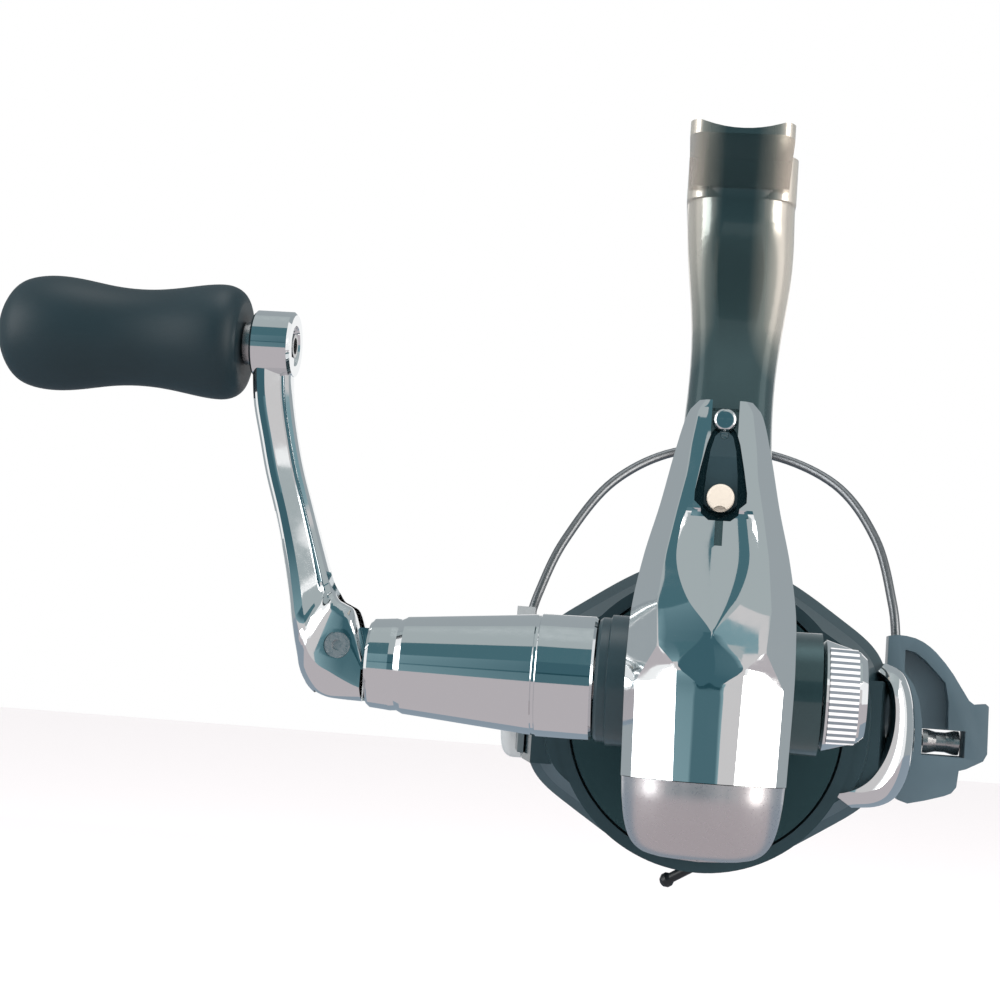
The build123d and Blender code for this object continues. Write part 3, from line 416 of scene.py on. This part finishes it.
def outward(piece):
    """welds the mesh and makes its faces look outwards."""
    bm = bmesh.new()
    bm.from_mesh(piece.data)
    bmesh.ops.remove_doubles(bm, verts=bm.verts, dist=0.000001)
    bmesh.ops.recalc_face_normals(bm, faces=bm.faces)
    bm.to_mesh(piece.data)
    bm.free()


def shade(piece, sharp_angle):
    """smooth shading that breaks at edges sharper than the angle."""
    for face in piece.data.polygons:
        face.use_smooth = True
    piece.data.set_sharp_from_angle(angle=math.radians(sharp_angle))


def baked(piece):
    """applies the piece's modifiers to its mesh. validate() deletes faces that a cut leaves invalid."""
    bpy.context.view_layer.update()
    final = bpy.data.meshes.new_from_object(piece.evaluated_get(bpy.context.evaluated_depsgraph_get()))
    final.validate()
    piece.modifiers.clear()
    piece.data = final


def cut(piece, cutters):
    """cuts closed solids out of the piece."""
    outward(piece)
    for cutter in cutters:
        outward(cutter)
        modifier = piece.modifiers.new("cut", "BOOLEAN")
        modifier.operation = "DIFFERENCE"
        modifier.solver = "EXACT"
        modifier.use_self = True
        modifier.object = cutter
    baked(piece)
    for cutter in cutters:
        bpy.data.objects.remove(cutter)


def thicken(piece, thickness):
    """gives a sheet a wall on its inner side."""
    modifier = piece.modifiers.new("wall", "SOLIDIFY")
    modifier.thickness = thickness * MM
    modifier.offset = -1.0
    baked(piece)


def bevel(piece, width, angle, segments):
    """a bevel modifier on the edges sharper than the angle."""
    edge = piece.modifiers.new("edges", "BEVEL")
    edge.width = width * MM
    edge.segments = segments
    edge.limit_method = "ANGLE"
    edge.angle_limit = math.radians(angle)
    return edge


def dress(piece, mat, slot, body, *nodes):
    """gives a new piece its material and body, in place of the CAD nodes."""
    piece.data.materials.clear()
    piece.data.materials.append(mat)
    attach(piece, body)
    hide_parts(*nodes)


def between(points, at):
    """smooth curve through given points (place, value, ...), read at a place."""
    points = sorted(points)
    if at <= points[0][0]:
        return points[0][1:]
    if at >= points[-1][0]:
        return points[-1][1:]
    k = run_at(points, at)
    before, start = points[max(k - 1, 0)], points[k]
    end, after = points[k + 1], points[min(k + 2, len(points) - 1)]
    span = end[0] - start[0]
    t = (at - start[0]) / span
    values = []
    for i in range(1, len(start)):
        slope_in = (end[i] - before[i]) / (end[0] - before[0]) * span
        slope_out = (after[i] - start[i]) / (after[0] - start[0]) * span
        values.append((2 * t**3 - 3 * t**2 + 1) * start[i] + (t**3 - 2 * t**2 + t) * slope_in
                      + (3 * t**2 - 2 * t**3) * end[i] + (t**3 - t**2) * slope_out)
    return values


def run_at(points, at):
    """the index of the run of sorted points that a place is in."""
    return max(i for i in range(len(points) - 1) if points[i][0] <= at)


def straight(points, at):
    """like between, with straight runs."""
    points = sorted(points)
    if at <= points[0][0]:
        return points[0][1:]
    if at >= points[-1][0]:
        return points[-1][1:]
    k = run_at(points, at)
    start, end = points[k], points[k + 1]
    t = (at - start[0]) / (end[0] - start[0])
    return [a + (b - a) * t for a, b in zip(start[1:], end[1:])]


def sheet(name, rows):
    """an open sheet through rows of points, its faces turned so that those at its back look to -Y."""
    columns = len(rows[0])
    faces = []
    for r in range(len(rows) - 1):
        for c in range(columns - 1):
            a = r * columns + c
            faces.append((a, a + 1, a + columns + 1, a + columns))
    piece = mesh_object(name, flat(rows), faces)
    if sum(face.normal.y * face.area for face in piece.data.polygons) > 0:
        piece.data.flip_normals()
    return piece


def flat(rows):
    return [point for row in rows for point in row]


def ring_faces(a, b, n):
    """the faces between two closed rings of n points that begin at a and b."""
    return [(a + k, a + (k + 1) % n, b + (k + 1) % n, b + k) for k in range(n)]


def circle(u, v, r, sides):
    turns = [2 * math.pi * i / sides for i in range(sides)]
    return [(u + r * math.cos(a), v + r * math.sin(a)) for a in turns]


def prism(name, outline, place):
    """closed prism: outline's corners at both ends, where place(u, v, end) gives a point."""
    n = len(outline)
    points = [place(u, v, 0) for u, v in outline] + [place(u, v, 1) for u, v in outline]
    faces = [tuple(range(n)), tuple(range(2 * n - 1, n - 1, -1))]
    faces += [(i, (i + 1) % n, n + (i + 1) % n, n + i) for i in range(n)]
    return mesh_object(name, points, faces)


def slab(name, outline, y0, y1):
    """closed prism along Y; outline is (x, z)."""
    return prism(name, outline, lambda u, v, end: (u, y1 if end else y0, v))


def bar_x(name, r, x0, x1, y=0.0, z=0.0):
    """closed cylinder along X."""
    return prism(name, circle(y, z, r, 64), lambda u, v, end: (x1 if end else x0, u, v))


def bar_y(name, r, y0, y1, x, z):
    """closed cylinder along Y."""
    return slab(name, circle(x, z, r, 40), y0, y1)


# ---------- rear cover ----------

COVER_TOP, SEAM_Z = 45.4, -14.5
COVER_STEPS = 84
LEAF_TOP, LEAF_LOW = 27.4, 8.2
# levels of their own, where the ridge lines turn sharply
CORNER_LEVELS = {LEAF_TOP, 8.1, 3.0, 0.0}
# ridge lines of the cover, right half: height, x, y
MIDDLE = [(COVER_TOP, 0, -10.4), (43.6, 0, -11.3), (37.5, 0, -13.1), (28.0, 0, -16.4), (20.0, 0, -19.3),
          (12.0, 0, -21.7), (7.8, 0, -22.6), (0.0, 0, -23.28), (SEAM_Z, 0, -22.9)]
LEAF_EDGE = [(COVER_TOP, 2.4, -10.4), (37.5, 3.4, -13.1), (28.0, 4.9, -16.2), (24.0, 5.9, -17.6),
             (18.5, 6.1, -19.5), (13.0, 4.1, -21.3), (8.1, 0.2, -22.6), (7.0, 0.6, -22.7),
             (3.0, 4.9, -22.9), (0.2, 1.9, -23.25), (-2.0, 1.9, -23.25), (SEAM_Z, 1.9, -22.85)]
PANEL_INNER = [(COVER_TOP, 3.05, -10.25), (43.6, 4.1, -11.05), (37.5, 5.0, -12.75), (32.8, 5.4, -14.35),
               (27.0, 6.5, -16.45), (20.0, 7.7, -18.8), (12.0, 8.5, -20.75), (5.6, 8.0, -22.0),
               (2.6, 5.1, -22.85), (0.0, 5.0, -22.75), (SEAM_Z, 4.6, -22.3)]
RIDGE = [(COVER_TOP, 3.2, -10.2), (43.6, 4.3, -11.0), (37.5, 5.2, -12.7), (32.8, 5.6, -14.3),
         (27.0, 6.7, -16.4), (20.0, 7.9, -18.75), (12.0, 8.7, -20.7), (5.6, 8.2, -21.95),
         (0.0, 11.2, -19.7), (SEAM_Z, 10.9, -19.2)]
SIDE_EDGE = [(COVER_TOP, 4.2, -9.2), (43.6, 5.8, -8.8), (37.5, 7.5, -9.0), (28.0, 9.4, -11.8),
             (20.0, 11.3, -13.8), (12.0, 12.6, -15.6), (5.5, 12.9, -16.6), (0.0, 12.95, -16.8),
             (SEAM_Z, 12.6, -16.4)]
# height, y of the cover's front edge; height, depth of the hollow in the leaf
FRONT_Y = [(COVER_TOP, -6.1), (43.6, -5.7), (37.5, -4.5), (30.0, -3.0), (20.0, 0.3), (12.0, 3.0),
           (SEAM_Z, 3.0)]
LEAF_SCOOP = [(LEAF_TOP, 0.0), (26.2, 0.8), (20.0, 0.9), (13.0, 0.6), (LEAF_LOW, 0.0)]
COVER_WALL = 0.95
COVER_BEVEL = 0.16
STRIP_STEPS = 6
POCKET = [(1.0, 41.3), (1.9, 40.2), (2.6, 38.0), (3.4, 34.0), (4.05, 30.2), (4.05, 28.6), (3.0, 27.6),
          (2.9, 26.6), (1.7, 25.6)]
FORK_HALF, FORK_LOW = 2.15, 39.6
SLOT_HALF, SLOT_LOW, SLOT_TOP = 0.62, 21.6, 26.0
LEFT_NOTCH_R, RIGHT_NOTCH_R = 10.9, 10.2
NOTCH_IN, NOTCH_OUT = 8, 22


def cover_row(z):
    """one level of the cover from its middle to its right front edge."""
    lines = [between(line, z) for line in (MIDDLE, LEAF_EDGE)]
    lines += [straight(line, z) for line in (PANEL_INNER, RIDGE)]
    side = between(SIDE_EDGE, z)
    lines += [side, (side[0], between(FRONT_Y, z)[0])]
    scoop = between(LEAF_SCOOP, z)[0]
    row = []
    for strip, (start, end) in enumerate(zip(lines, lines[1:])):
        for step in range(STRIP_STEPS):
            t = step / STRIP_STEPS
            x = start[0] + (end[0] - start[0]) * t
            y = start[1] + (end[1] - start[1]) * t
            if strip == 0:
                y += scoop * (1 - t**4)
            row.append((x, y, z))
    row.append((lines[-1][0], lines[-1][1], z))
    return row


def mirrored_row(row):
    """a row from the left front edge over the middle to the right one."""
    return [(-x, y, z) for x, y, z in reversed(row[1:])] + row


def upright(half, low, high):
    """a rectangle about the middle, as (x, z)."""
    return [(half, high), (half, low), (-half, low), (-half, high)]


def rear_cover():
    """bright shell with the lever's pocket, the leaf below it and the openings of both bosses."""
    height = COVER_TOP - SEAM_Z
    levels = {COVER_TOP - height * i / COVER_STEPS for i in range(COVER_STEPS + 1)} | CORNER_LEVELS
    cover = sheet("rear_cover_shell", [mirrored_row(cover_row(z)) for z in sorted(levels, reverse=True)])
    thicken(cover, COVER_WALL)
    pocket = POCKET + [(-x, z) for x, z in reversed(POCKET)]
    cut(cover, [slab("lever_hole", pocket, -40.0, -6.0),
                slab("fork_gap", upright(FORK_HALF, FORK_LOW, 50.0), -41.0, -4.0),
                slab("slot_hole", upright(SLOT_HALF, SLOT_LOW, SLOT_TOP), -42.0, -16.0),
                bar_x("left_notch", LEFT_NOTCH_R, -NOTCH_OUT, -NOTCH_IN),
                bar_x("right_notch", RIGHT_NOTCH_R, NOTCH_IN, NOTCH_OUT)])
    shade(cover, 12)
    bevel(cover, COVER_BEVEL, 12, 2).harden_normals = True
    return cover


# ---------- rear bumper ----------

BUMPER_TOP, BUMPER_LOW = -14.6, -26.6
# height, half width, rearmost y, corner radius
BUMPER = [(BUMPER_TOP, 12.6, -22.8, 9.0), (-18.0, 12.3, -22.4, 8.6), (-22.0, 11.6, -21.0, 7.8),
          (-24.6, 10.4, -19.2, 6.6), (-26.0, 8.6, -17.0, 5.2), (BUMPER_LOW, 6.6, -14.6, 4.2)]
BUMPER_FRONT_Y = 3.0
BUMPER_SAG = 0.35
LEDGE = 1.1
ROUND_STEPS = 30
RUN_STEPS = 6
CORNER_STEPS = 8


def bumper_row(z, wide, rear, radius):
    """one level of the bumper from its left front edge round the back to the right one."""
    side_y = rear + radius
    row = [(wide, BUMPER_FRONT_Y - i * (BUMPER_FRONT_Y - side_y) / RUN_STEPS, z) for i in range(RUN_STEPS)]
    for i in range(CORNER_STEPS + 1):
        turn = math.pi / 2 * i / CORNER_STEPS
        row.append((wide - radius + radius * math.cos(turn), rear + radius - radius * math.sin(turn), z))
    for i in range(1, RUN_STEPS + 1):
        share = i / RUN_STEPS
        row.append(((wide - radius) * (1 - share), rear - BUMPER_SAG * math.sin(math.pi / 2 * share), z))
    return [(-x, y, z) for x, y, z in row[:-1]] + list(reversed(row))


def rear_bumper():
    """satin cap under the cover: a ledge inside the seam, a rounded wall and a nearly flat underside."""
    wide, rear, radius = BUMPER[0][1:]
    rows = [bumper_row(BUMPER_TOP, wide - LEDGE, rear + LEDGE, radius)]
    for i in range(ROUND_STEPS + 1):
        z = BUMPER_TOP - (BUMPER_TOP - BUMPER_LOW) * math.sin(math.pi / 2 * i / ROUND_STEPS)
        rows.append(bumper_row(z, *between(BUMPER, z)))
    rim = rows[-1]
    for i in range(1, RUN_STEPS + 1):
        share = 1 - i / RUN_STEPS
        rows.append([(x * share, y, BUMPER_LOW - 0.2 * (1 - share**2)) for x, y, z in rim])
    bumper = sheet("rear_bumper_shell", rows)
    thicken(bumper, COVER_WALL)
    shade(bumper, 40)
    return bumper


# ---------- crank ----------

# along the crank from the fold joint to the grip: outer x, z; inner x, z; half depth
CRANK = [(-56.0, -6.6, -56.0, 1.0, 6.6), (-59.2, -6.6, -57.0, 4.6, 6.6), (-62.2, -6.4, -58.3, 8.2, 6.6),
         (-64.7, -5.2, -59.8, 9.2, 6.5), (-66.8, -2.5, -61.0, 9.8, 6.3), (-67.9, 1.4, -61.8, 10.9, 5.9),
         (-68.7, 5.4, -62.6, 12.4, 5.4), (-69.5, 9.6, -63.5, 14.6, 4.8), (-71.1, 16.2, -65.2, 19.2, 3.9),
         (-73.1, 23.2, -67.4, 25.4, 3.3), (-75.4, 30.0, -69.4, 31.2, 3.0), (-77.0, 36.0, -70.9, 36.8, 3.0),
         (-78.4, 41.4, -72.0, 42.0, 3.2), (-79.0, 46.0, -72.5, 46.0, 3.4), (-79.2, 50.0, -72.7, 50.0, 3.4)]
# across the crank, from its outer to its inner edge: share of the width, share of the half depth
CRANK_ARM_SECTION = [(0.0, 0.30), (0.02, 0.66), (0.10, 0.92), (0.16, 1.0), (0.36, 0.98), (0.40, 0.94),
                     (0.72, 0.62), (0.76, 0.50), (0.81, 0.50), (0.85, 0.62), (0.95, 0.56), (1.0, 0.28)]
CRANK_HUB_SECTION = [(0.0, 0.22), (0.04, 0.48), (0.14, 0.76), (0.27, 0.93), (0.30, 0.97), (0.36, 0.98),
                     (0.72, 0.98), (0.86, 0.98), (0.90, 0.97), (0.93, 0.94), (0.98, 0.80), (1.0, 0.50)]
# the hub's section gives way to the arm's over this many stations, up to this one
HUB_FADE, HUB_END = 2.4, 6.6
STATION_STEPS = 4
FOLD_X, FOLD_Z = -60.2, 2.4
FOLD_BORE_R, PIN_SEAT_R = 1.3, 2.2
PIN_SEAT_DEPTH, HUB_OUT = 5.4, 9.0
FOLD_SLOT_HALF = 2.5
FOLD_SLOT = [(-64.2, -9.6), (-50.0, -9.6), (-50.0, 14.4), (-64.2, 14.4)]
GRIP_Z = 52.1
# section of the grip's boss: x, radius
GRIP_BOSS = [(-79.4, 2.0), (-79.4, 5.3), (-79.0, 5.7), (-73.0, 5.7), (-72.5, 5.2), (-72.5, 3.4),
             (-73.3, 3.2), (-73.3, 2.0)]


def numbered(stations):
    """stations as points for between, placed at 0, 1, 2 and so on."""
    return [(n, *station) for n, station in enumerate(stations)]


def crank_row(stations, place):
    """the ring of points round the crank at a place along it."""
    ox, oz, ix, iz, half = between(stations, place)
    hub = min(max((HUB_END - place) / HUB_FADE, 0.0), 1.0)
    hub = hub * hub * (3 - 2 * hub)
    row = []
    for arm_point, hub_point in zip(CRANK_ARM_SECTION, CRANK_HUB_SECTION):
        v = arm_point[0] + (hub_point[0] - arm_point[0]) * hub
        depth = half * (arm_point[1] + (hub_point[1] - arm_point[1]) * hub)
        row.append((ox + (ix - ox) * v, -depth, oz + (iz - oz) * v))
    return row + [(x, -y, z) for x, y, z in reversed(row)]


def crank_arm():
    """one casting: the hub with its slot and fold pin's bore, the bowed arm and the boss of the grip."""
    stations = numbered(CRANK)
    steps = (len(CRANK) - 1) * STATION_STEPS
    arm = closed_tube("crank_body", [crank_row(stations, k / STATION_STEPS) for k in range(steps + 1)])
    cutters = [slab("fold_slot", FOLD_SLOT, -FOLD_SLOT_HALF, FOLD_SLOT_HALF),
               bar_y("fold_bore", FOLD_BORE_R, -HUB_OUT, HUB_OUT, FOLD_X, FOLD_Z)]
    cutters += [bar_y("pin_seat", PIN_SEAT_R, side * PIN_SEAT_DEPTH, side * HUB_OUT, FOLD_X, FOLD_Z)
                for side in (-1, 1)]
    cut(arm, cutters)
    boss = ring_of(GRIP_BOSS, GRIP_Z)
    shade(arm, 24)
    shade(boss, 35)
    return joined(arm, boss)


def ring_of(profile, z, sides=72):
    """closed ring turned about a line along X at height z; profile is (x, r)."""
    n = len(profile)
    points = []
    faces = []
    for i in range(sides):
        turn = 2 * math.pi * i / sides
        points += [(x, r * math.cos(turn), z + r * math.sin(turn)) for x, r in profile]
        faces += ring_faces(i * n, (i + 1) % sides * n, n)
    ring = mesh_object("ring", points, faces)
    outward(ring)
    return ring


def closed_tube(name, rows):
    """closed solid through rings of points."""
    n = len(rows[0])
    last = (len(rows) - 1) * n
    faces = []
    for start in range(0, last, n):
        faces += ring_faces(start, start + n, n)
    faces += [tuple(range(n)), tuple(range(last + n - 1, last - 1, -1))]
    tube = mesh_object(name, flat(rows), faces)
    outward(tube)
    return tube


def joined(piece, *others):
    """all the pieces as one object."""
    bm = bmesh.new()
    for part in (piece, *others):
        bm.from_mesh(part.data)
    bm.to_mesh(piece.data)
    bm.free()
    piece.data.validate()
    for part in others:
        bpy.data.objects.remove(part)
    return piece


# ---------- right arm and bail ----------

# along the bright band: inner x, z; outer x, z; inner y, crest y, outer y
ARM_BAND = [(29.8, 5.0, 31.2, 6.8, 33.5, 33.0, 35.0), (31.0, 3.9, 33.8, 5.8, 31.6, 30.8, 35.5),
            (31.9, 2.3, 35.4, 4.0, 30.4, 29.4, 36.4), (32.4, -0.6, 36.6, 0.6, 29.9, 28.8, 37.0),
            (32.4, -4.2, 37.1, -3.6, 29.8, 28.5, 37.0), (31.8, -7.4, 37.1, -7.8, 29.6, 28.4, 37.0),
            (30.6, -10.4, 36.6, -11.8, 29.2, 28.0, 37.0), (28.7, -13.2, 35.5, -14.9, 28.6, 27.4, 36.4),
            (26.6, -14.9, 33.6, -17.3, 27.8, 26.8, 35.0), (24.4, -15.9, 30.6, -18.6, 27.3, 26.6, 33.0),
            (22.4, -16.4, 26.4, -19.0, 27.2, 26.8, 31.0)]


# how far the band's ends run on towards the reel's front, and where its round edge starts
BAND_INNER_RUN, BAND_OUTER_RUN = 5.0, 4.0
BAND_START = 0.12


def arm_cover():
    """bright crescent that wraps the root of the right arm."""
    stations = numbered(ARM_BAND)
    rows = []
    for k in range((len(ARM_BAND) - 1) * STATION_STEPS + 1):
        ix, iz, ox, oz, inner_y, crest_y, outer_y = between(stations, k / STATION_STEPS)
        row = [(ix, inner_y + BAND_INNER_RUN, iz), (ix, inner_y + 0.5, iz)]
        for step in range(9):
            turn = math.pi / 2 * step / 8
            share = BAND_START + (1 - BAND_START) * math.sin(turn)
            drop = outer_y + (crest_y - outer_y) * math.cos(turn) ** 0.8
            row.append((ix + (ox - ix) * share, drop, iz + (oz - iz) * share))
        row.append((ix + (ox - ix) * 0.985, outer_y + BAND_OUTER_RUN, iz + (oz - iz) * 0.985))
        rows.append(row)
    cover = closed_tube("arm_cover_band", rows)
    shade(cover, 35)
    return cover


BAIL_Y = 55.0
SHAFT_Z = -6.0
BRACKET_BACK, BRACKET_FRONT, RECESS_FLOOR = 57.4, 62.4, 60.9
ROLLER_Y, ROLLER_Z = 62.0, -6.8
# x, z of the bracket's edge, and of the recess in its back
BAIL_OUTLINE = [(33.85, 12.6), (35.4, 12.9), (37.2, 12.8), (38.8, 12.5), (40.3, 11.9), (41.7, 11.0),
                (42.9, 10.0), (44.6, 8.2), (46.2, 6.2), (47.8, 3.8), (49.4, 1.4), (50.4, 0.7), (52.5, 1.0),
                (53.1, 0.5), (53.2, -8.4), (52.5, -9.8), (49.4, -11.5), (48.1, -11.9), (47.8, -15.0),
                (46.9, -16.2), (45.6, -16.8), (42.1, -17.9), (38.9, -18.7), (37.2, -18.2), (36.5, -17.0),
                (36.4, -9.0), (33.85, -9.0)]
BAIL_RECESS = [(37.1, 10.2), (39.0, 9.8), (41.0, 8.4), (43.0, 6.4), (44.9, 4.4), (45.6, 1.0), (45.8, -4.4),
               (49.0, -4.4), (49.0, -9.4), (41.0, -9.4), (40.9, -3.4), (40.2, 0.6), (39.0, 3.6), (37.1, 6.0)]
# x, z of the room beside the roller, and x, radius of the pivot disc
ROLLER_SIDE = [(41.2, -9.4), (48.6, -9.4), (48.6, -4.2), (41.2, -4.2)]
PIVOT_DISC = [(33.85, 1.25), (33.85, 8.2), (36.0, 8.2), (36.85, 7.4), (36.85, 2.5), (35.75, 2.5),
              (35.75, 1.25)]


def bail_arm():
    """bracket of the line roller on its pivot disc."""
    bracket = slab("bail_bracket", BAIL_OUTLINE, BRACKET_BACK, BRACKET_FRONT)
    cut(bracket, [slab("bail_recess", BAIL_RECESS, 50.0, RECESS_FLOOR),
                  bar_x("roller_room", 2.6, 41.2, 48.6, ROLLER_Y, ROLLER_Z),
                  slab("roller_side", ROLLER_SIDE, ROLLER_Y, 70.0),
                  bar_x("pin_bore", 0.95, 38.0, 51.4, ROLLER_Y, ROLLER_Z)])
    bevel(bracket, 0.7, 30, 3)
    baked(bracket)
    shade(bracket, 40)
    disc = ring_of(PIVOT_DISC, SHAFT_Z)
    disc.data.transform(Matrix.Translation((0, BAIL_Y * MM, 0)))
    shade(disc, 35)
    return joined(bracket, disc)


WIRE_POINTS = [(35.4, 58.5, 11.4), (34.4, 60.0, 19.0), (31.0, 65.0, 31.5), (23.0, 71.5, 42.5),
               (9.0, 77.5, 48.6), (-8.0, 77.5, 48.2), (-21.0, 71.5, 40.5), (-29.5, 64.5, 27.5),
               (-33.6, 60.2, 16.5), (-35.4, 58.6, 9.0)]
WIRE_R = 0.9
WIRE_STEPS = 10


def bail_wire():
    """round wire on a smooth bow."""
    stations = numbered(WIRE_POINTS)
    path = [Vector(between(stations, k / WIRE_STEPS)) for k in range((len(WIRE_POINTS) - 1) * WIRE_STEPS + 1)]
    side = Vector((0, 1, 0))
    rows = []
    for k, at in enumerate(path):
        along = (path[min(k + 1, len(path) - 1)] - path[max(k - 1, 0)]).normalized()
        side = (side - along * side.dot(along)).normalized()
        across = along.cross(side)
        rows.append([tuple(at + side * u + across * v) for u, v in circle(0.0, 0.0, WIRE_R, 16)])
    wire = closed_tube("bail_bow", rows)
    shade(wire, 50)
    return wire


def add_moving_parts(mats):
    dress(crank_arm(), mats["chrome"], "chrome", "crank", "crank_arm")
    dress(arm_cover(), mats["chrome"], "chrome", "rotor", "arm_cover")
    dress(bail_arm(), mats["grey_plastic"], "grey_plastic", "bail", "bail_arm")
    dress(bail_wire(), mats["wire"], "steel", "bail", "bail_wire")


def add_back(mats):
    dress(rear_cover(), mats["chrome"], "chrome", "frame", "rear_cover")
    dress(rear_bumper(), mats["satin_chrome"], "satin_chrome", "frame", "rear_bumper")


mats = make_materials()
dress_nodes(mats)
add_back(mats)
add_moving_parts(mats)
add_camera()
add_studio()
